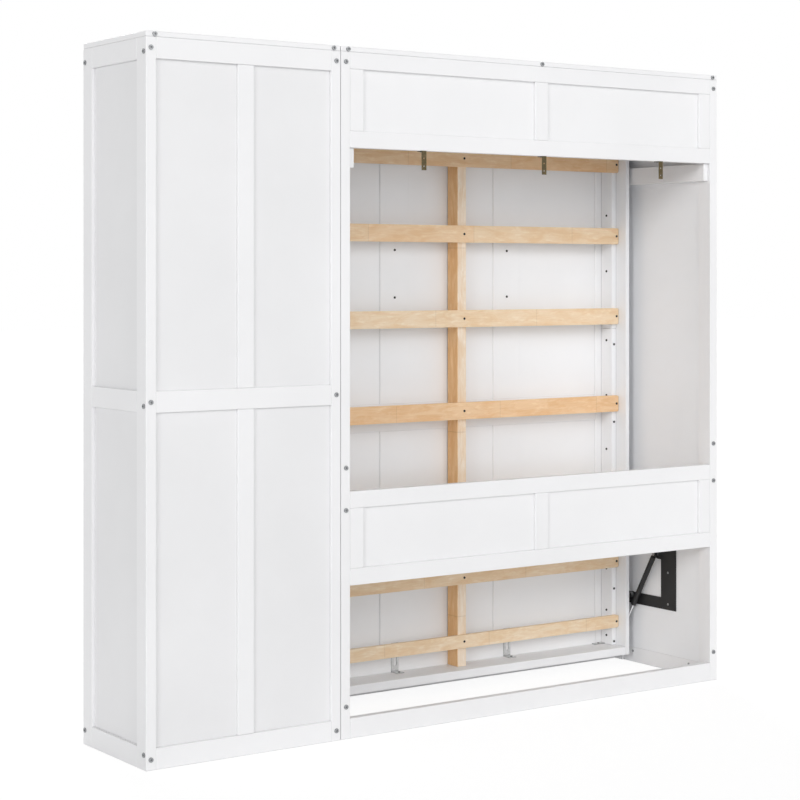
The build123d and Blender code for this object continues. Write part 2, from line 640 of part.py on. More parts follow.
# Wall brackets: bent steel angles under the header
WALL_W = 17
WALL_T = 2
WALL_REACH = 24
WALL_H = 59
WALL_Z1 = HEADER_Z0
WALL_Z0 = WALL_Z1 - WALL_H
WALL_HOLES = (WALL_Z0 + 12, WALL_Z0 + 36)
WALL_HOLE_R = 2.5
with BuildPart() as wall_brackets:
    for x in WALL_X:
        with BuildSketch(side_plane(x - WALL_W / 2)) as angle:
            with BuildLine():
                Polyline(
                    (Y_BACK, WALL_Z0),
                    (Y_BACK, WALL_Z1),
                    (Y_BACK - WALL_REACH, WALL_Z1),
                    (Y_BACK - WALL_REACH, WALL_Z1 - WALL_T),
                    (Y_BACK - WALL_T, WALL_Z1 - WALL_T),
                    (Y_BACK - WALL_T, WALL_Z0),
                    close=True,
                )
            make_face()
        extrude(angle.sketch, amount=WALL_W)
    drill_back([(x, z) for x in WALL_X for z in WALL_HOLES], WALL_T, WALL_HOLE_R)
    discs(Plane.XY.offset(WALL_Z1 - WALL_T), wall_spots, SCREW_HOLE_R, WALL_T, Mode.SUBTRACT)
finish(wall_brackets, "wall_brackets")

# Bolts of both carcasses and of the top boards
with BuildPart() as frame_bolts:
    bolts(back_plane(), WARD_BACK_BOLTS, WARD_BOLT_L, -1)
    bolts(back_plane(), BED_BACK_BOLTS, BED_BOLT_L, -1)
    bolts(back_plane(), TOP_BOLTS, TOP_BOLT_L, -1)
    bolts(side_plane(WARD_X1), [(Y_BACK - d, z) for d, z in WARD_SIDE_BOLTS], SIDE_BOLT_L, 1)
    bolts(side_plane(BED_X0), [(Y_BACK - d, z) for d, z in BED_SIDE_BOLTS], SIDE_BOLT_L, -1)
finish(frame_bolts, "frame_bolts")

# Three bolts with spacer rings hold the two units together at the back posts
with BuildPart() as unit_link_bolts:
    link_spots = [(Y_BACK - LINK_D, z) for z in LINK_Z]
    discs(side_plane(BED_X1 - POST_X), link_spots, BOLT_R, 2 * POST_X + UNIT_GAP)
    discs(side_plane(BED_X1 - POST_X), link_spots, HEAD_R, -HEAD_T)
    discs(side_plane(WARD_X0 + POST_X), link_spots, HEAD_R, HEAD_T)
    with BuildSketch(side_plane(BED_X1)):
        with Locations(*link_spots):
            Circle(SPACER_R)
            Circle(BOLT_HOLE_R, mode=Mode.SUBTRACT)
    extrude(amount=UNIT_GAP)
finish(unit_link_bolts, "unit_link_bolts")

# Steel brackets of the lifting mechanism on the side panels
for side, name in ((-1, "pivot_bracket_right"), (1, "pivot_bracket_left")):
    with BuildPart() as pivot_bracket:
        with BuildSketch(side_plane(u_x(side, CAB_PLATE))):
            with Locations((Y_BACK - BRACKET_D, BRACKET_Z)):
                Rectangle(BRACKET_W, BRACKET_H)
            with Locations((Y_BACK - (BRACKET_D + PIVOT_D) / 2, FOOT_Z)):
                Rectangle(PIVOT_D - BRACKET_D + BRACKET_W, FOOT_H)
            with Locations((Y_BACK - (BRACKET_D + UPPER_D) / 2, UPPER_Z)):
                Rectangle(UPPER_D - BRACKET_D, 2 * TAB_R)
            with Locations((Y_BACK - UPPER_D, UPPER_Z)):
                Circle(TAB_R)
            with Locations((Y_BACK - PIVOT_D, PIVOT_Z)):
                Circle(FOOT_END_R)
            with Locations(*[(Y_BACK - d, z) for d, z in BRACKET_SCREWS]):
                Circle(SCREW_HOLE_R, mode=Mode.SUBTRACT)
        extrude(amount=side * PLATE_T)
    finish(pivot_bracket, name)

with BuildPart() as pivot_pins:
    for side in (-1, 1):
        spot = [(Y_BACK - PIVOT_D, PIVOT_Z)]
        discs(side_plane(u_x(side, CAB_PLATE)), spot, COLLAR_R, -side * COLLAR_L)
        pin = CAB_PLATE - COLLAR_L - RAIL_OUT - PIN_END
        discs(side_plane(u_x(side, CAB_PLATE - COLLAR_L)), spot, PIN_R, -side * pin)
finish(pivot_pins, "pivot_pins")

with BuildPart() as strut_upper_studs:
    for side in (-1, 1):
        spot = [(Y_BACK - UPPER_D, UPPER_Z)]
        collar = CAB_PLATE - STRUT_U - EYE_T / 2 - PIN_END
        clip_u = STRUT_U - EYE_T / 2 - 2 * PIN_END
        discs(side_plane(u_x(side, CAB_PLATE)), spot, STUD_COLLAR_R, -side * collar)
        discs(side_plane(u_x(side, CAB_PLATE)), spot, STUD_R, -side * (CAB_PLATE - clip_u))
        discs(side_plane(u_x(side, clip_u)), spot, CLIP_R, -side * CLIP_T)
finish(strut_upper_studs, "strut_upper_studs")

with BuildPart() as cabinet_screws:
    for side in (-1, 1):
        spots = [(Y_BACK - d, z) for d, z in BRACKET_SCREWS]
        x = u_x(side, CAB_PLATE)
        screws(side_plane(x), spots, PLATE_T + PANEL_SCREW_L, -side)
        spots = [(Y_BACK - d, z) for d, z in FLOOR_SCREWS]
        screws(side_plane(u_x(side, PANEL_IN)), spots, PANEL_SCREW_L, -side)
    screws(Plane.XY.offset(WALL_Z1 - WALL_T), wall_spots, WALL_T + WALL_SCREW_L, -1)
finish(cabinet_screws, "cabinet_screws")

# Slotted angle straps and corner plates that tie the front to the lower end board
STRAP_W = 28
STRAP_T = 2.5
STRAP_H = 96
STRAP_FOOT = 36
STRAP_Z0 = BED_Z0 + END_T
STRAP_SCREW_Z = STRAP_Z0 + STRAP_H - 10
STRAP_SCREW_D = FRONT_IN - 26
STRAP_BITE = 12
SLOT_W = 13
SLOT_H = 56
CORNER_W = 44
CORNER_D = 18
CORNER_U = MATTRESS_HALF - LEDGER_W - CORNER_W / 2
STRAP_SPOTS = [(u_x(side, MULLION_X), STRAP_SCREW_Z) for side in (-1, 1)]
FOOT_SPOTS = [(u_x(side, MULLION_X), Y_BACK - STRAP_SCREW_D) for side in (-1, 1)]
FOOT_SPOTS += [(u_x(side, CORNER_U), Y_BACK - FRONT_IN + CORNER_D / 2) for side in (-1, 1)]
with BuildPart() as bed_straps:
    for side in (-1, 1):
        with BuildSketch(side_plane(u_x(side, MULLION_X) - STRAP_W / 2)) as strap:
            with BuildLine():
                Polyline(
                    (Y_BACK - FRONT_IN, STRAP_Z0),
                    (Y_BACK - FRONT_IN, STRAP_Z0 + STRAP_H),
                    (Y_BACK - FRONT_IN + STRAP_T, STRAP_Z0 + STRAP_H),
                    (Y_BACK - FRONT_IN + STRAP_T, STRAP_Z0 + STRAP_T),
                    (Y_BACK - FRONT_IN + STRAP_FOOT, STRAP_Z0 + STRAP_T),
                    (Y_BACK - FRONT_IN + STRAP_FOOT, STRAP_Z0),
                    close=True,
                )
            make_face()
        extrude(strap.sketch, amount=STRAP_W)
        with BuildSketch(back_plane(FRONT_IN - STRAP_T)) as slot:
            with Locations((u_x(side, MULLION_X), STRAP_Z0 + STRAP_H / 2)):
                SlotOverall(SLOT_H, SLOT_W, rotation=90)
        extrude(slot.sketch, amount=STRAP_T, mode=Mode.SUBTRACT)
        x0 = u_x(side, MATTRESS_HALF - LEDGER_W)
        board(x0, x0 - side * CORNER_W, FRONT_IN - CORNER_D, FRONT_IN, STRAP_Z0, STRAP_Z0 + STRAP_T)
    drill_back(STRAP_SPOTS, STRAP_T, SCREW_HOLE_R, FRONT_IN - STRAP_T)
    discs(Plane.XY.offset(STRAP_Z0), FOOT_SPOTS, SCREW_HOLE_R, STRAP_T, Mode.SUBTRACT)
finish(bed_straps, "bed_straps")

# Folding bed: framed front, 3 panels across and 2 up
FRONT_RAIL_Z = (
    (BED_Z0, BED_Z0 + FRONT_STILE),
    (FRONT_MID_Z, FRONT_MID_Z + FRONT_MID_H),
    (BED_Z1 - FRONT_STILE, BED_Z1),
)
FIELD_HALF = FRONT_HALF - FRONT_STILE
COLUMNS = (
    (-FIELD_HALF, -MULLION_X - MULLION_W / 2),
    (-MULLION_X + MULLION_W / 2, MULLION_X - MULLION_W / 2),
    (MULLION_X + MULLION_W / 2, FIELD_HALF),
)
FRONT_SLOT = (FRONT_IN + FRONT_PANEL_IN, FRONT_IN + FRONT_PANEL_IN + FRONT_PANEL_T)
HANDLE_Z = BED_Z0 + 0.6743 * BED_L
HANDLE_BITE = 12
HANDLE_SPOTS = [
    (u_x(side, MULLION_X), HANDLE_Z + up * HANDLE_PITCH / 2) for side in (-1, 1) for up in (-1, 1)
]
with BuildPart() as bed_front_stiles:
    for side in (-1, 1):
        board(u_x(side, FIELD_HALF), u_x(side, FRONT_HALF), FRONT_IN, BED_D, BED_Z0, BED_Z1)
    chamfer(bed_front_stiles.edges(), EASE)
    for (a0, a1), (b0, b1) in zip(FRONT_RAIL_Z, FRONT_RAIL_Z[1:]):
        for side in (-1, 1):
            x0, x1 = u_x(side, FIELD_HALF), u_x(side, FIELD_HALF + TONGUE)
            groove(x0, x1, *FRONT_SLOT, a1 - TONGUE, b0 + TONGUE)
finish(bed_front_stiles, "bed_front_stiles")

with BuildPart() as bed_front_rails:
    for z0, z1 in FRONT_RAIL_Z:
        board(u_x(-1, FIELD_HALF), u_x(1, FIELD_HALF), FRONT_IN, BED_D, z0, z1)
    chamfer(bed_front_rails.edges(), EASE)
    for (a0, a1), (b0, b1) in zip(FRONT_RAIL_Z, FRONT_RAIL_Z[1:]):
        for c0, c1 in COLUMNS:
            x0, x1 = BED_MID + c0 - TONGUE, BED_MID + c1 + TONGUE
            groove(x0, x1, *FRONT_SLOT, a1 - TONGUE, a1)
            groove(x0, x1, *FRONT_SLOT, b0, b0 + TONGUE)
finish(bed_front_rails, "bed_front_rails")

with BuildPart() as bed_front_mullions:
    for (a0, a1), (b0, b1) in zip(FRONT_RAIL_Z, FRONT_RAIL_Z[1:]):
        for side in (-1, 1):
            x0 = u_x(side, MULLION_X - MULLION_W / 2)
            x1 = u_x(side, MULLION_X + MULLION_W / 2)
            board(x0, x1, FRONT_IN, BED_D, a1, b0)
    chamfer(bed_front_mullions.edges(), EASE)
    for side in (-1, 1):
        x0 = u_x(side, MULLION_X - MULLION_W / 2)
        x1 = u_x(side, MULLION_X + MULLION_W / 2)
        groove(x0, x0 + side * TONGUE, *FRONT_SLOT, 0, CARCASS)
        groove(x1 - side * TONGUE, x1, *FRONT_SLOT, 0, CARCASS)
    drill_back(HANDLE_SPOTS, FRONT_T, SCREW_HOLE_R, FRONT_IN)
    drill_back(STRAP_SPOTS, STRAP_BITE + DRILL_PAST, SCREW_HOLE_R, FRONT_IN)
finish(bed_front_mullions, "bed_front_mullions")

with BuildPart() as bed_front_panels:
    reach = TONGUE - TONGUE_END
    for (a0, a1), (b0, b1) in zip(FRONT_RAIL_Z, FRONT_RAIL_Z[1:]):
        for c0, c1 in COLUMNS:
            board(BED_MID + c0 - reach, BED_MID + c1 + reach, *FRONT_SLOT, a1 - reach, b0 + reach)
finish(bed_front_panels, "bed_front_panels")

with BuildPart() as bed_handles:
    for side in (-1, 1):
        bow_handle(u_x(side, MULLION_X), BED_D, HANDLE_Z)
    drill_back(HANDLE_SPOTS, HANDLE_BITE + DRILL_PAST, SCREW_HOLE_R, BED_D)
finish(bed_handles, "bed_handles")

# Bed box: side rails, end boards, ledgers, beam and slats
PLATE_SCREWS = [
    (PIVOT_D + at * ARM * sin(radians(LOWER_ANGLE)), PIVOT_Z - at * ARM * cos(radians(LOWER_ANGLE)))
    for at in (0.31, 0.62)
]
LEDGER_SCREW_AT = (0.03, 0.075, 0.149, 0.263, 0.362, 0.458, 0.556, 0.679, 0.778, 0.91)
LEDGER_SCREW_Z = [BED_Z0 + at * BED_L for at in LEDGER_SCREW_AT]
LEDGER_SCREW_D = FRONT_IN - LEDGER_D / 2
LEDGER_BITE = 10
RAIL_BITE = 12
with BuildPart() as bed_side_rails:
    for side in (-1, 1):
        board(u_x(side, MATTRESS_HALF), u_x(side, RAIL_OUT), RAIL_BACK, FRONT_IN, BED_Z0, BED_Z1)
    chamfer(bed_side_rails.edges(), EASE)
    for side in (-1, 1):
        x = u_x(side, MATTRESS_HALF)
        bite = side * (LEDGER_BITE + DRILL_PAST)
        drill_side(x, [(LEDGER_SCREW_D, z) for z in LEDGER_SCREW_Z], bite, SCREW_HOLE_R)
        drill_side(u_x(side, RAIL_OUT), PLATE_SCREWS, -side * (RAIL_BITE + DRILL_PAST), SCREW_HOLE_R)
finish(bed_side_rails, "bed_side_rails")

with BuildPart() as bed_end_boards:
    for z0 in (BED_Z0, BED_Z1 - END_T):
        board(u_x(-1, MATTRESS_HALF), u_x(1, MATTRESS_HALF), RAIL_BACK, FRONT_IN, z0, z0 + END_T)
    chamfer(bed_end_boards.edges(), EASE)
    discs(Plane.XY.offset(STRAP_Z0), FOOT_SPOTS, SCREW_HOLE_R, -STRAP_BITE - DRILL_PAST, Mode.SUBTRACT)
finish(bed_end_boards, "bed_end_boards")

LEDGER_JOINT = BED_Z0 + 0.577 * BED_L
LEDGER_GAP = 0.8
LEDGER_SPANS = (
    (BED_Z0 + END_T, LEDGER_JOINT - LEDGER_GAP / 2),
    (LEDGER_JOINT + LEDGER_GAP / 2, BED_Z1 - END_T),
)
SLAT_BITE = 18
LEDGER_MID = MATTRESS_HALF - LEDGER_W / 2
SLAT_SCREWS = [(u_x(side, LEDGER_MID), z) for z in SLAT_Z + LOW_SLAT_Z for side in (-1, 1)]
BEAM_SCREWS = [(BED_MID, z) for z in SLAT_Z + LOW_SLAT_Z]
SPARE_AT = (0.0205, 0.1144, 0.411, 0.549)
SPARE_SCREWS = [(u_x(side, LEDGER_MID), BED_Z0 + at * BED_L) for at in SPARE_AT for side in (-1, 1)]
with BuildPart() as bed_ledgers:
    for side in (-1, 1):
        for z0, z1 in LEDGER_SPANS:
            board(u_x(side, MATTRESS_HALF - LEDGER_W), u_x(side, MATTRESS_HALF), SLAT_FACE, FRONT_IN, z0, z1)
    chamfer(bed_ledgers.edges(), EASE)
    for side in (-1, 1):
        x = u_x(side, MATTRESS_HALF - LEDGER_W)
        drill_side(x, [(LEDGER_SCREW_D, z) for z in LEDGER_SCREW_Z], side * LEDGER_W, SCREW_HOLE_R)
    drill_back(SLAT_SCREWS + SPARE_SCREWS, SLAT_BITE + DRILL_PAST, SCREW_HOLE_R, SLAT_FACE)
finish(bed_ledgers, "bed_ledgers")

with BuildPart() as bed_centre_beam:
    x0, x1 = BED_MID - BEAM_W / 2, BED_MID + BEAM_W / 2
    board(x0, x1, SLAT_FACE, FRONT_IN, BED_Z0 + END_T, BED_Z1 - END_T)
    chamfer(bed_centre_beam.edges(), EASE)
    drill_back(BEAM_SCREWS, SLAT_BITE + DRILL_PAST, SCREW_HOLE_R, SLAT_FACE)
finish(bed_centre_beam, "bed_centre_beam")

SLAT_L = 2 * MATTRESS_HALF - 2
SLAT_CORNER_R = 7
with BuildPart() as bed_slats:
    with BuildSketch(back_plane(SLAT_FACE - SLAT_T)):
        with Locations(*[(BED_MID, z) for z in SLAT_Z]):
            RectangleRounded(SLAT_L, SLAT_H, SLAT_CORNER_R)
        with Locations(*[(BED_MID, z) for z in LOW_SLAT_Z]):
            RectangleRounded(SLAT_L, LOW_SLAT_H, SLAT_CORNER_R)
    extrude(amount=SLAT_T)
    drill_back(SLAT_SCREWS + BEAM_SCREWS, SLAT_T, SCREW_HOLE_R, SLAT_FACE - SLAT_T)
finish(bed_slats, "bed_slats")

# Screws of the bed: slats, ledgers, straps and handles
with BuildPart() as bed_screws:
    screws(back_plane(SLAT_FACE - SLAT_T), SLAT_SCREWS + BEAM_SCREWS, SLAT_T + SLAT_BITE, -1)
    screws(back_plane(SLAT_FACE), SPARE_SCREWS, SLAT_BITE, -1)
    for side in (-1, 1):
        x = u_x(side, MATTRESS_HALF - LEDGER_W)
        spots = [(Y_BACK - LEDGER_SCREW_D, z) for z in LEDGER_SCREW_Z]
        screws(side_plane(x), spots, LEDGER_W + LEDGER_BITE, -side)
        x = u_x(side, BED_PLATE)
        screws(side_plane(x), [(Y_BACK - d, z) for d, z in PLATE_SCREWS], PLATE_T + RAIL_BITE, side)
    screws(back_plane(FRONT_IN), HANDLE_SPOTS, FRONT_T + HANDLE_BITE, -1)
    screws(back_plane(FRONT_IN - STRAP_T), STRAP_SPOTS, STRAP_T + STRAP_BITE, -1)
    screws(Plane.XY.offset(STRAP_Z0 + STRAP_T), FOOT_SPOTS, STRAP_T + STRAP_BITE, 1)
finish(bed_screws, "bed_screws")

# Pivot plates on the bed rails, each with a bearing boss and a hole for the lower stud
with BuildPart() as bed_pivot_plates:
    for side in (-1, 1):
        with BuildSketch(side_plane(u_x(side, RAIL_OUT))) as plate:
            with BuildLine():
                Line((Y_BACK - PIVOT_D, PIVOT_Z), (Y_BACK - LOWER_D, LOWER_Z))
            trace(line_width=2 * PLATE_END_R)
            with Locations((Y_BACK - PIVOT_D, PIVOT_Z)):
                Circle(PLATE_EYE_R)
            with Locations((Y_BACK - LOWER_D, LOWER_Z)):
                Circle(PLATE_END_R)
            with Locations(*[(Y_BACK - d, z) for d, z in PLATE_SCREWS]):
                Circle(SCREW_HOLE_R, mode=Mode.SUBTRACT)
        extrude(plate.sketch, amount=side * PLATE_T)
        spot = [(Y_BACK - PIVOT_D, PIVOT_Z)]
        boss = CAB_PLATE - COLLAR_L - BED_PLATE - PIN_END
        discs(side_plane(u_x(side, BED_PLATE)), spot, BOSS_R, side * boss)
        discs(side_plane(u_x(side, RAIL_OUT)), spot, PIN_R + RUN_FIT, side * (PLATE_T + boss), Mode.SUBTRACT)
finish(bed_pivot_plates, "bed_pivot_plates")

with BuildPart() as strut_lower_studs:
    for side in (-1, 1):
        spot = [(Y_BACK - LOWER_D, LOWER_Z)]
        collar = STRUT_U - EYE_T / 2 - PIN_END - BED_PLATE
        clip_u = STRUT_U + EYE_T / 2 + 2 * PIN_END
        discs(side_plane(u_x(side, BED_PLATE)), spot, STUD_COLLAR_R, side * collar)
        discs(side_plane(u_x(side, BED_PLATE)), spot, STUD_R, side * (clip_u - BED_PLATE))
        discs(side_plane(u_x(side, clip_u)), spot, CLIP_R, side * CLIP_T)
finish(strut_lower_studs, "strut_lower_studs")

# Gas struts: tube on the cabinet, rod with piston on the bed
for side, name in ((-1, "right"), (1, "left")):
    x = u_x(side, STRUT_U)
    upper = Vector(x, Y_BACK - UPPER_D, UPPER_Z)
    lower = Vector(x, Y_BACK - LOWER_D, LOWER_Z)
    down = (lower - upper).normalized()

    with BuildPart() as strut_tube:
        with BuildSketch(Plane(origin=upper, x_dir=down, z_dir=(1, 0, 0))) as half:
            with BuildLine():
                Polyline(
                    (NECK_FROM, 0),
                    (NECK_FROM, ROD_R),
                    (TUBE_FROM, ROD_R),
                    (TUBE_FROM, TUBE_R),
                    (TUBE_L, TUBE_R),
                    (TUBE_L, GLAND_R),
                    (TUBE_L - GLAND_L, GLAND_R),
                    (TUBE_L - GLAND_L, TUBE_IN_R),
                    (TUBE_FROM + TUBE_END_T, TUBE_IN_R),
                    (TUBE_FROM + TUBE_END_T, 0),
                    close=True,
                )
            make_face()
        revolve(half.sketch, axis=Axis(upper, down))
        spot = [(upper.Y, upper.Z)]
        discs(side_plane(x - EYE_T / 2), spot, EYE_R, EYE_T)
        discs(side_plane(x - EYE_T / 2), spot, STUD_R + RUN_FIT, EYE_T, Mode.SUBTRACT)
    finish(strut_tube, f"strut_cylinder_{name}")

    with BuildPart() as strut_rod:
        with BuildSketch(Plane(origin=lower, x_dir=-down, z_dir=(1, 0, 0))) as half:
            with BuildLine():
                Polyline(
                    (NECK_FROM, 0),
                    (NECK_FROM, ROD_R),
                    (ROD_L - PISTON_L, ROD_R),
                    (ROD_L - PISTON_L, PISTON_R),
                    (ROD_L, PISTON_R),
                    (ROD_L, 0),
                    close=True,
                )
            make_face()
        revolve(half.sketch, axis=Axis(lower, -down))
        spot = [(lower.Y, lower.Z)]
        discs(side_plane(x - EYE_T / 2), spot, EYE_R, EYE_T)
        discs(side_plane(x - EYE_T / 2), spot, STUD_R + RUN_FIT, EYE_T, Mode.SUBTRACT)
    finish(strut_rod, f"strut_rod_{name}")

# Fold-out leg on the front, a bent bar that hangs between two clevis brackets
LEG_D = BED_D + LEG_OFF
CHEEK_IN = LEG_R + CHEEK_GAP
CHEEK_OUT = CHEEK_IN + CHEEK_T
with BuildPart() as support_leg:
    y = Y_BACK - LEG_D
    z_foot = LEG_Z - LEG_L + LEG_R
    with BuildLine() as path:
        Polyline(
            (u_x(-1, LEG_HALF), y, LEG_Z + LEG_PAST),
            (u_x(-1, LEG_HALF), y, z_foot),
            (u_x(1, LEG_HALF), y, z_foot),
            (u_x(1, LEG_HALF), y, LEG_Z + LEG_PAST),
        )
        fillet(path.vertices().filter_by(lambda v: v.Z < LEG_Z), LEG_BEND)
    top_end = (u_x(-1, LEG_HALF), y, LEG_Z + LEG_PAST)
    with BuildSketch(Plane(origin=top_end, x_dir=(1, 0, 0), z_dir=(0, 0, -1))) as bar:
        Circle(LEG_R)
    sweep(bar.sketch, path=path.wires()[0])
    for side in (-1, 1):
        x = u_x(side, LEG_HALF) - CHEEK_OUT
        discs(side_plane(x), [(y, LEG_Z)], LEG_PIN_R + RUN_FIT, 2 * CHEEK_OUT, Mode.SUBTRACT)
finish(support_leg, "support_leg")

with BuildPart() as leg_brackets:
    for side in (-1, 1):
        x_leg = u_x(side, LEG_HALF)
        face_d = BED_D + LEG_BASE_T
        x0, z0 = x_leg - LEG_BASE_W / 2, LEG_Z - LEG_BASE_H / 2
        board(x0, x0 + LEG_BASE_W, BED_D, face_d, z0, z0 + LEG_BASE_H)
        z0 = LEG_Z - CHEEK_H / 2
        for x0 in (x_leg - CHEEK_OUT, x_leg + CHEEK_IN):
            board(x0, x0 + CHEEK_T, face_d, LEG_D + CHEEK_PAST, z0, z0 + CHEEK_H)
        pin_spot = [(Y_BACK - LEG_D, LEG_Z)]
        discs(side_plane(x_leg - CHEEK_OUT), pin_spot, LEG_PIN_R, 2 * CHEEK_OUT, Mode.SUBTRACT)
finish(leg_brackets, "leg_brackets")

with BuildPart() as leg_pins:
    for side in (-1, 1):
        x0 = u_x(side, LEG_HALF) - CHEEK_OUT
        discs(side_plane(x0), [(Y_BACK - LEG_D, LEG_Z)], LEG_PIN_R, 2 * CHEEK_OUT)
finish(leg_pins, "leg_pins")
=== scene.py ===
import json
import math

import bpy
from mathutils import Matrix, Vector


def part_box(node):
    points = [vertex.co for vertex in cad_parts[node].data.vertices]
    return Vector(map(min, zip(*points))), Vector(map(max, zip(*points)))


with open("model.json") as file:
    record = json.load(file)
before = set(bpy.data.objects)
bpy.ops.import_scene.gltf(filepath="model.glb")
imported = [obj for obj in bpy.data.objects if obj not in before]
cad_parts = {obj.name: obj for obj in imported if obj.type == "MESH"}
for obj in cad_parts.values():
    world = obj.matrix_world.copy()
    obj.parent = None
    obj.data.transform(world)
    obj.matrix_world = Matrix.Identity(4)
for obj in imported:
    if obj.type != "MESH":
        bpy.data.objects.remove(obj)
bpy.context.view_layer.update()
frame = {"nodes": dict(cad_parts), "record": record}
scene = bpy.context.scene
nodes = frame["nodes"]

WHITE = (1.0, 1.0, 1.0)

# Paints: darkest and lightest grey of the clouds, then the red and blue share of that grey.
# The bay's paint is a lit copy, a little brighter and cooler than the cabinet's: painted light against the
# shade in the bay and the warm bounce from the wood. The panels' is a little greyer: painted shade of their
# recesses.
PAINTS = {
    "white_paint": (0.86, 0.90, 1.0, 1.012),
    "panel_paint_shaded": (0.808, 0.848, 1.0, 1.012),
    "bay_paint_lit": (0.882, 0.922, 0.991, 1.02),
}
PAINT_CLOUD = 2.3
PAINT_GLOSS = 14.0
PAINT_PEEL = 420.0
PAINT_ROUGH = (0.40, 0.52)
PAINT_SPECULAR = 0.35
# Panels take the greyer copy as painted recess shade; parts of the bay take the brighter, cooler copy as
# painted light
SHADED_PANEL_NODES = ("wardrobe_back_panels", "wardrobe_side_panels", "left_door_panels", "right_door_panels")
LIT_BAY_NODES = ("bed_front_", "bed_side_rails", "bed_ledgers", "bed_end", "bed_unit_side_panels")

# Metals: darkest and lightest tone, roughness range, metallic share, mottle scale and its stretch
METALS = {
    "black_steel": ((0.007, 0.007, 0.008), (0.014, 0.014, 0.015), (0.50, 0.65), 0.0, 260.0, (1, 1, 1)),
    "bright_rod": ((0.80, 0.81, 0.82), (0.90, 0.90, 0.91), (0.16, 0.28), 1.0, 120.0, (1, 1, 6)),
    "zinc_steel": ((0.28, 0.29, 0.30), (0.44, 0.45, 0.46), (0.30, 0.45), 0.9, 180.0, (1, 1, 1)),
    "strap_zinc": ((0.56, 0.57, 0.58), (0.74, 0.75, 0.76), (0.30, 0.45), 0.75, 150.0, (1, 1, 1)),
    "brass_plate": ((0.07, 0.055, 0.028), (0.15, 0.115, 0.06), (0.34, 0.50), 0.8, 140.0, (1, 1, 1)),
}

# Painted crease shade: reach in metres and the shade painted into the tightest place, for paint joints and
# metal sockets
JOINT_REACH, JOINT_SHADE = 0.004, 0.76
SOCKET_REACH, SOCKET_SHADE = 0.006, 0.12
CREASE_FROM, CREASE_TO = 0.25, 0.85
CREASE_SAMPLES = 12

# Softwood: tones from pale to dark, sizes in metres, scales per metre
PALE, TAN, ORANGE = (0.91, 0.75, 0.56), (0.89, 0.69, 0.48), (0.90, 0.62, 0.38)
SLAT_TONES = [(0.12, PALE), (0.5, TAN), (0.85, ORANGE)]
SLAT_PITCH, SLAT_LENGTH, SLAT_SEED = 0.28, 0.43, 3.0
BEAM_TONES = [(0.1, (0.93, 0.81, 0.68)), (0.9, (0.92, 0.78, 0.63))]
# Painted shade: a darker, warmer tone for the beam's faces that look along X, as if they were in shadow
BEAM_SIDE_SHADE = (0.92, 0.59, 0.31)
BEAM_PITCH, BEAM_LENGTH, BEAM_SEED = 4.0, 0.62, 1.0
ROW_OFFSET = 0.37
ROW_STEP = 0.3
ROW_SHARE, LENGTH_SHARE = 0.72, 0.28
CLOUD_SCALE, CLOUD_STRETCH = 38.0, 0.26
CLOUD_TINT = (0.93, 0.85, 0.75)
FLECK_SCALE = 95.0
FLECK_TINT = (1.06, 1.11, 1.18)
FIBRE_SCALE, FIBRE_STRETCH = 260.0, 0.05
FIBRE_TINT = (0.95, 0.93, 0.90)
JOINT_LINE = 0.006
JOINT_TINT = (0.80, 0.76, 0.72)
WOOD_ROUGH = (0.55, 0.70)
WOOD_SPECULAR = 0.3

# Studio: floor, world and the soft lights, each with the direction it comes from, power and width in degrees
FLOOR_SIZE = 80
FLOOR_DROP = 0.0005
FLOOR_GREY = 0.95
FLOOR_ROUGH = 0.9
FLOOR_GLOW = 1.09
FLOOR_SHADE = 0.20
WORLD_LIGHT = 0.375
LIGHTS = (
    ("behind", (-0.08, 0.96, 0.27), 0.60, 40),
    ("above", (0.05, 0.80, 0.60), 0.40, 40),
    ("camera_side", (0.60, 0.79, 0.08), 0.57, 40),
    ("side", (0.85, 0.45, 0.25), 0.65, 15),
    ("room", (-0.30, -0.80, 0.50), 1.4, 20),
)

# Camera: place from the middle of the part and from its back plane, turn in radians, lens in millimetres
CAMERA_X = 3.6503
CAMERA_BACK = 4.8948
CAMERA_Z = 1.3791
CAMERA_TURN = 0.61
CAMERA_SENSOR = 36
CAMERA_LENS = 88.74
CAMERA_SHIFT = -0.156
CAMERA_CLIP = 200


# Small helpers for shader trees
def new_material(name):
    mat = bpy.data.materials.new(name)
    mat.use_nodes = True
    tree = mat.node_tree
    return mat, tree, tree.nodes["Principled BSDF"]


def add(tree, kind, **values):
    """A new node, with its sockets or else its settings set by name."""
    node = tree.nodes.new(kind)
    for key, value in values.items():
        if key in node.inputs:
            node.inputs[key].default_value = value
        else:
            setattr(node, key, value)
    return node


def coords(tree, scale=(1, 1, 1), offset=(0, 0, 0)):
    source = add(tree, "ShaderNodeTexCoord")
    mapping = add(tree, "ShaderNodeMapping", Scale=scale, Location=offset)
    tree.links.new(source.outputs["Object"], mapping.inputs["Vector"])
    return mapping.outputs["Vector"]


def noise(tree, vector, scale, detail, rough=0.55, distort=0.0):
    node = add(tree, "ShaderNodeTexNoise", Scale=scale, Detail=detail, Roughness=rough, Distortion=distort)
    tree.links.new(vector, node.inputs["Vector"])
    return node.outputs["Fac"]


def ramp(tree, fac, stops):
    node = add(tree, "ShaderNodeValToRGB")
    band = node.color_ramp
    while len(band.elements) < len(stops):
        band.elements.new(0.5)
    for element, (place, colour) in zip(band.elements, stops):
        element.position = place
        element.color = (*colour, 1.0)
    tree.links.new(fac, node.inputs["Fac"])
    return node.outputs["Color"]


def spread(tree, fac, limits):
    node = add(tree, "ShaderNodeMapRange")
    node.inputs["To Min"].default_value, node.inputs["To Max"].default_value = limits
    tree.links.new(fac, node.inputs["Value"])
    return node.outputs["Result"]


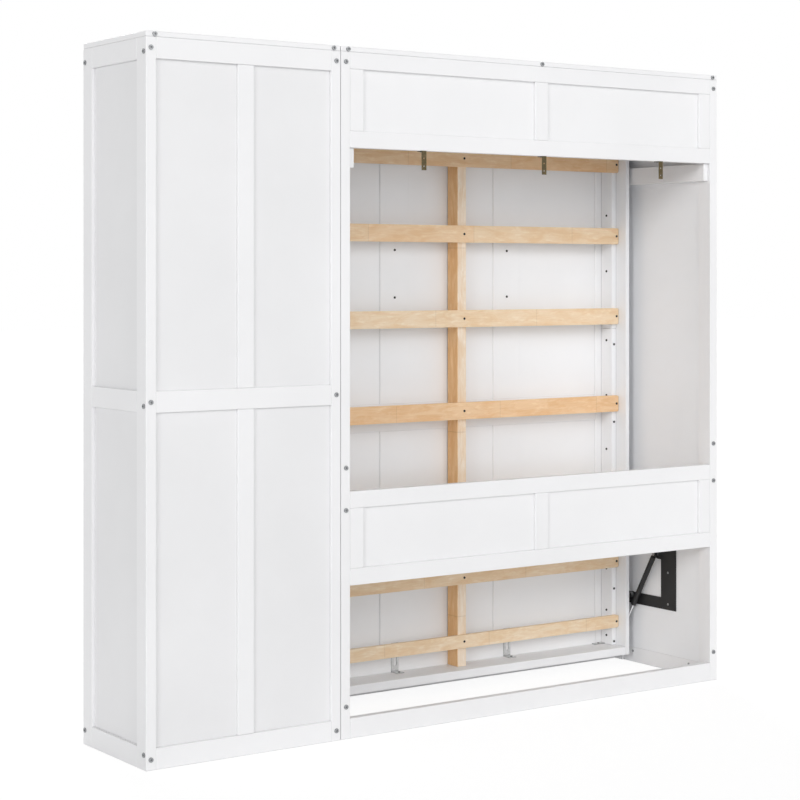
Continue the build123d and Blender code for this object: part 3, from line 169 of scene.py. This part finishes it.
def bump(tree, shader, height, strength, distance):
    node = add(tree, "ShaderNodeBump", Strength=strength, Distance=distance)
    tree.links.new(height, node.inputs["Height"])
    tree.links.new(node.outputs["Normal"], shader.inputs["Normal"])


def multiply(tree, a, b):
    node = add(tree, "ShaderNodeMix", data_type="RGBA", blend_type="MULTIPLY")
    node.inputs[0].default_value = 1.0
    tree.links.new(a, node.inputs[6])
    tree.links.new(b, node.inputs[7])
    return node.outputs[2]


def arithmetic(tree, operation, a, b=0.0):
    node = add(tree, "ShaderNodeMath", operation=operation)
    for slot, value in zip(node.inputs, (a, b)):
        if isinstance(value, (int, float)):
            slot.default_value = value
        else:
            tree.links.new(value, slot)
    return node.outputs[0]


# Painted shade: a darker tone painted into joints, sockets and recesses, where other surfaces stand close by
def painted_crease_shade(tree, colour, reach, shade):
    near = add(tree, "ShaderNodeAmbientOcclusion", samples=CREASE_SAMPLES, Distance=reach)
    stops = [(CREASE_FROM, (shade, shade, shade)), (CREASE_TO, WHITE)]
    return multiply(tree, colour, ramp(tree, near.outputs["AO"], stops))


# Satin paint on board: faint clouds, uneven gloss, a fine roller texture and painted shade in its joints
def paint(name, low, high, red, blue):
    mat, tree, shader = new_material(name)
    cloud = noise(tree, coords(tree), PAINT_CLOUD, 5.0)
    stops = [(at, (grey * red, grey, grey * blue)) for at, grey in ((0.3, low), (0.7, high))]
    colour = ramp(tree, cloud, stops)
    # Painted shade in the joints over the paint's colour
    tree.links.new(painted_crease_shade(tree, colour, JOINT_REACH, JOINT_SHADE), shader.inputs["Base Color"])
    gloss = noise(tree, coords(tree, offset=(3, 1, 2)), PAINT_GLOSS, 3.0)
    tree.links.new(spread(tree, gloss, PAINT_ROUGH), shader.inputs["Roughness"])
    peel = noise(tree, coords(tree), PAINT_PEEL, 2.0)
    bump(tree, shader, peel, 0.06, 0.0006)
    shader.inputs["Specular IOR Level"].default_value = PAINT_SPECULAR
    return mat


def stretched(along, share):
    """Texture scale that draws a pattern out along one axis."""
    return [share if axis == along else 1.0 for axis in "XYZ"]


# Planed softwood in finger-jointed lengths: a tone for each row and length,
# with clouds, flecks, fibres and joint lines over it
def planed_wood(name, along, across, row_pitch, length, seed, tones, side_shade_tone=None):
    mat, tree, shader = new_material(name)
    source = add(tree, "ShaderNodeTexCoord")
    place = add(tree, "ShaderNodeSeparateXYZ")
    tree.links.new(source.outputs["Object"], place.inputs[0])
    row = arithmetic(tree, "FLOOR", arithmetic(tree, "DIVIDE", place.outputs[across], row_pitch))
    offset = arithmetic(tree, "MULTIPLY", row, ROW_OFFSET)
    run = arithmetic(tree, "ADD", arithmetic(tree, "DIVIDE", place.outputs[along], length), offset)

    # Tone of the row and of the length within it
    block = add(tree, "ShaderNodeCombineXYZ", Z=seed)
    tree.links.new(arithmetic(tree, "FLOOR", run), block.inputs[0])
    tree.links.new(row, block.inputs[1])
    chance = add(tree, "ShaderNodeTexWhiteNoise", noise_dimensions="3D")
    tree.links.new(block.outputs[0], chance.inputs["Vector"])
    step = arithmetic(tree, "FRACT", arithmetic(tree, "MULTIPLY", row, ROW_STEP))
    row_tone = arithmetic(tree, "MULTIPLY", step, ROW_SHARE)
    length_tone = arithmetic(tree, "MULTIPLY", chance.outputs["Value"], LENGTH_SHARE)
    colour = ramp(tree, arithmetic(tree, "ADD", row_tone, length_tone), tones)
    # Painted shade: faces that look along X take the given darker tone, as if they were in shadow
    if side_shade_tone:
        facing = add(tree, "ShaderNodeSeparateXYZ")
        tree.links.new(source.outputs["Normal"], facing.inputs[0])
        side_shade_mix = add(tree, "ShaderNodeMix", data_type="RGBA")
        tree.links.new(arithmetic(tree, "ABSOLUTE", facing.outputs["X"]), side_shade_mix.inputs[0])
        tree.links.new(colour, side_shade_mix.inputs[6])
        side_shade_mix.inputs[7].default_value = (*side_shade_tone, 1.0)
        colour = side_shade_mix.outputs[2]

    # Figure of the wood over the tones
    grain = coords(tree, stretched(along, CLOUD_STRETCH))
    cloud = noise(tree, grain, CLOUD_SCALE, 4.0, 0.6, 0.8)
    fleck = noise(tree, grain, FLECK_SCALE, 2.0)
    fibre = noise(tree, coords(tree, stretched(along, FIBRE_STRETCH)), FIBRE_SCALE, 5.0, 0.6)
    for fac, stops in (
        (cloud, [(0.38, CLOUD_TINT), (0.60, WHITE)]),
        (fleck, [(0.54, WHITE), (0.68, FLECK_TINT)]),
        (fibre, [(0.35, FIBRE_TINT), (0.65, WHITE)]),
        (arithmetic(tree, "FRACT", run), [(0.0, JOINT_TINT), (JOINT_LINE, WHITE)]),
    ):
        colour = multiply(tree, colour, ramp(tree, fac, stops))
    tree.links.new(colour, shader.inputs["Base Color"])
    tree.links.new(spread(tree, fibre, WOOD_ROUGH), shader.inputs["Roughness"])
    bump(tree, shader, fibre, 0.12, 0.0005)
    shader.inputs["Specular IOR Level"].default_value = WOOD_SPECULAR
    return mat


# Plated, painted and bare steel with a fine mottle and painted shade in its sockets
def metal(name, dark, light, rough, metallic, mottle_scale, stretch):
    mat, tree, shader = new_material(name)
    mottle = noise(tree, coords(tree, stretch), mottle_scale, 6.0, 0.6)
    colour = ramp(tree, mottle, [(0.3, dark), (0.7, light)])
    # Painted shade in the sockets over the metal's colour
    tree.links.new(painted_crease_shade(tree, colour, SOCKET_REACH, SOCKET_SHADE), shader.inputs["Base Color"])
    tree.links.new(spread(tree, mottle, rough), shader.inputs["Roughness"])
    bump(tree, shader, mottle, 0.08, 0.0004)
    shader.inputs["Metallic"].default_value = metallic
    return mat


# Each node takes the finish of its material slot, unless it has one of its own
finishes = {name: paint(name, *values) for name, values in PAINTS.items()}
finishes.update({name: metal(name, *values) for name, values in METALS.items()})
slot_of = {entry["node"]: entry["material_slot"] for entry in frame["record"]["subparts"]}
own_finish = {
    "bed_slats": planed_wood("slat_wood", "X", "Z", SLAT_PITCH, SLAT_LENGTH, SLAT_SEED, SLAT_TONES),
    # The beam's side faces take the painted shade tone
    "bed_centre_beam": planed_wood(
        "beam_wood", "Z", "X", BEAM_PITCH, BEAM_LENGTH, BEAM_SEED, BEAM_TONES, BEAM_SIDE_SHADE
    ),
    "bed_straps": finishes["strap_zinc"],
}
for name, obj in nodes.items():
    # Panels get the painted-shade copy of the paint, parts of the bay the painted-light copy
    if name in SHADED_PANEL_NODES:
        own_finish[name] = finishes["panel_paint_shaded"]
    elif name.startswith(LIT_BAY_NODES):
        own_finish[name] = finishes["bay_paint_lit"]
    obj.data.materials.clear()
    obj.data.materials.append(own_finish.get(name) or finishes[slot_of[name]])


def seen_by_camera(tree, other, camera, output):
    """One shader for the camera and for reflections, another for the light itself."""
    path = add(tree, "ShaderNodeLightPath")
    either = arithmetic(tree, "MAXIMUM", path.outputs["Is Camera Ray"], path.outputs["Is Glossy Ray"])
    pick = add(tree, "ShaderNodeMixShader")
    tree.links.new(either, pick.inputs[0])
    tree.links.new(other, pick.inputs[1])
    tree.links.new(camera, pick.inputs[2])
    tree.links.new(pick.outputs[0], output.inputs["Surface"])


# White floor: a plain diffuse sheet for the light, lifted to near white where the camera sees it
def studio_floor():
    mat, tree, shader = new_material("floor_white")
    shader.inputs["Base Color"].default_value = (FLOOR_GREY, FLOOR_GREY, FLOOR_GREY, 1)
    shader.inputs["Roughness"].default_value = FLOOR_ROUGH
    shader.inputs["Specular IOR Level"].default_value = 0.0
    glow = add(tree, "ShaderNodeEmission", Strength=FLOOR_GLOW)
    lifted = add(tree, "ShaderNodeMixShader")
    lifted.inputs[0].default_value = 1 - FLOOR_SHADE
    tree.links.new(shader.outputs[0], lifted.inputs[1])
    tree.links.new(glow.outputs[0], lifted.inputs[2])
    seen_by_camera(tree, shader.outputs[0], lifted.outputs[0], tree.nodes["Material Output"])
    bpy.ops.mesh.primitive_plane_add(size=FLOOR_SIZE, location=(0, 0, -FLOOR_DROP))
    floor = bpy.context.object
    floor.name = "floor"
    floor.data.materials.append(mat)


def studio_world():
    world = bpy.data.worlds.new("studio")
    scene.world = world
    world.use_nodes = True
    tree = world.node_tree
    tree.nodes.clear()
    output = add(tree, "ShaderNodeOutputWorld")
    soft = add(tree, "ShaderNodeBackground", Color=(*WHITE, 1), Strength=WORLD_LIGHT)
    seen = add(tree, "ShaderNodeBackground", Color=(*WHITE, 1), Strength=1.0)
    seen_by_camera(tree, soft.outputs[0], seen.outputs[0], output)


def broad_light(name, source, power, width):
    """A soft light that comes from one side of the room, as wide as the given angle."""
    data = bpy.data.lights.new(name, "SUN")
    data.energy = power
    data.angle = math.radians(width)
    lamp = bpy.data.objects.new(name, data)
    scene.collection.objects.link(lamp)
    lamp.rotation_mode = "QUATERNION"
    lamp.rotation_quaternion = (-Vector(source)).to_track_quat("-Z", "Y")


studio_floor()
studio_world()
for light in LIGHTS:
    broad_light(*light)

# Camera: level, at the photo's angle, with the lens shifted down
camera_data = bpy.data.cameras.new("camera")
camera_data.sensor_width = CAMERA_SENSOR
camera_data.lens = CAMERA_LENS
camera_data.shift_y = CAMERA_SHIFT
camera_data.clip_end = CAMERA_CLIP
camera = bpy.data.objects.new("camera", camera_data)
back_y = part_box("wardrobe_posts")[1][1]
camera.location = (CAMERA_X, back_y + CAMERA_BACK, CAMERA_Z)
camera.rotation_euler = (math.radians(90), 0, math.pi - CAMERA_TURN)
scene.collection.objects.link(camera)
scene.camera = camera
scene.view_settings.view_transform = "Standard"
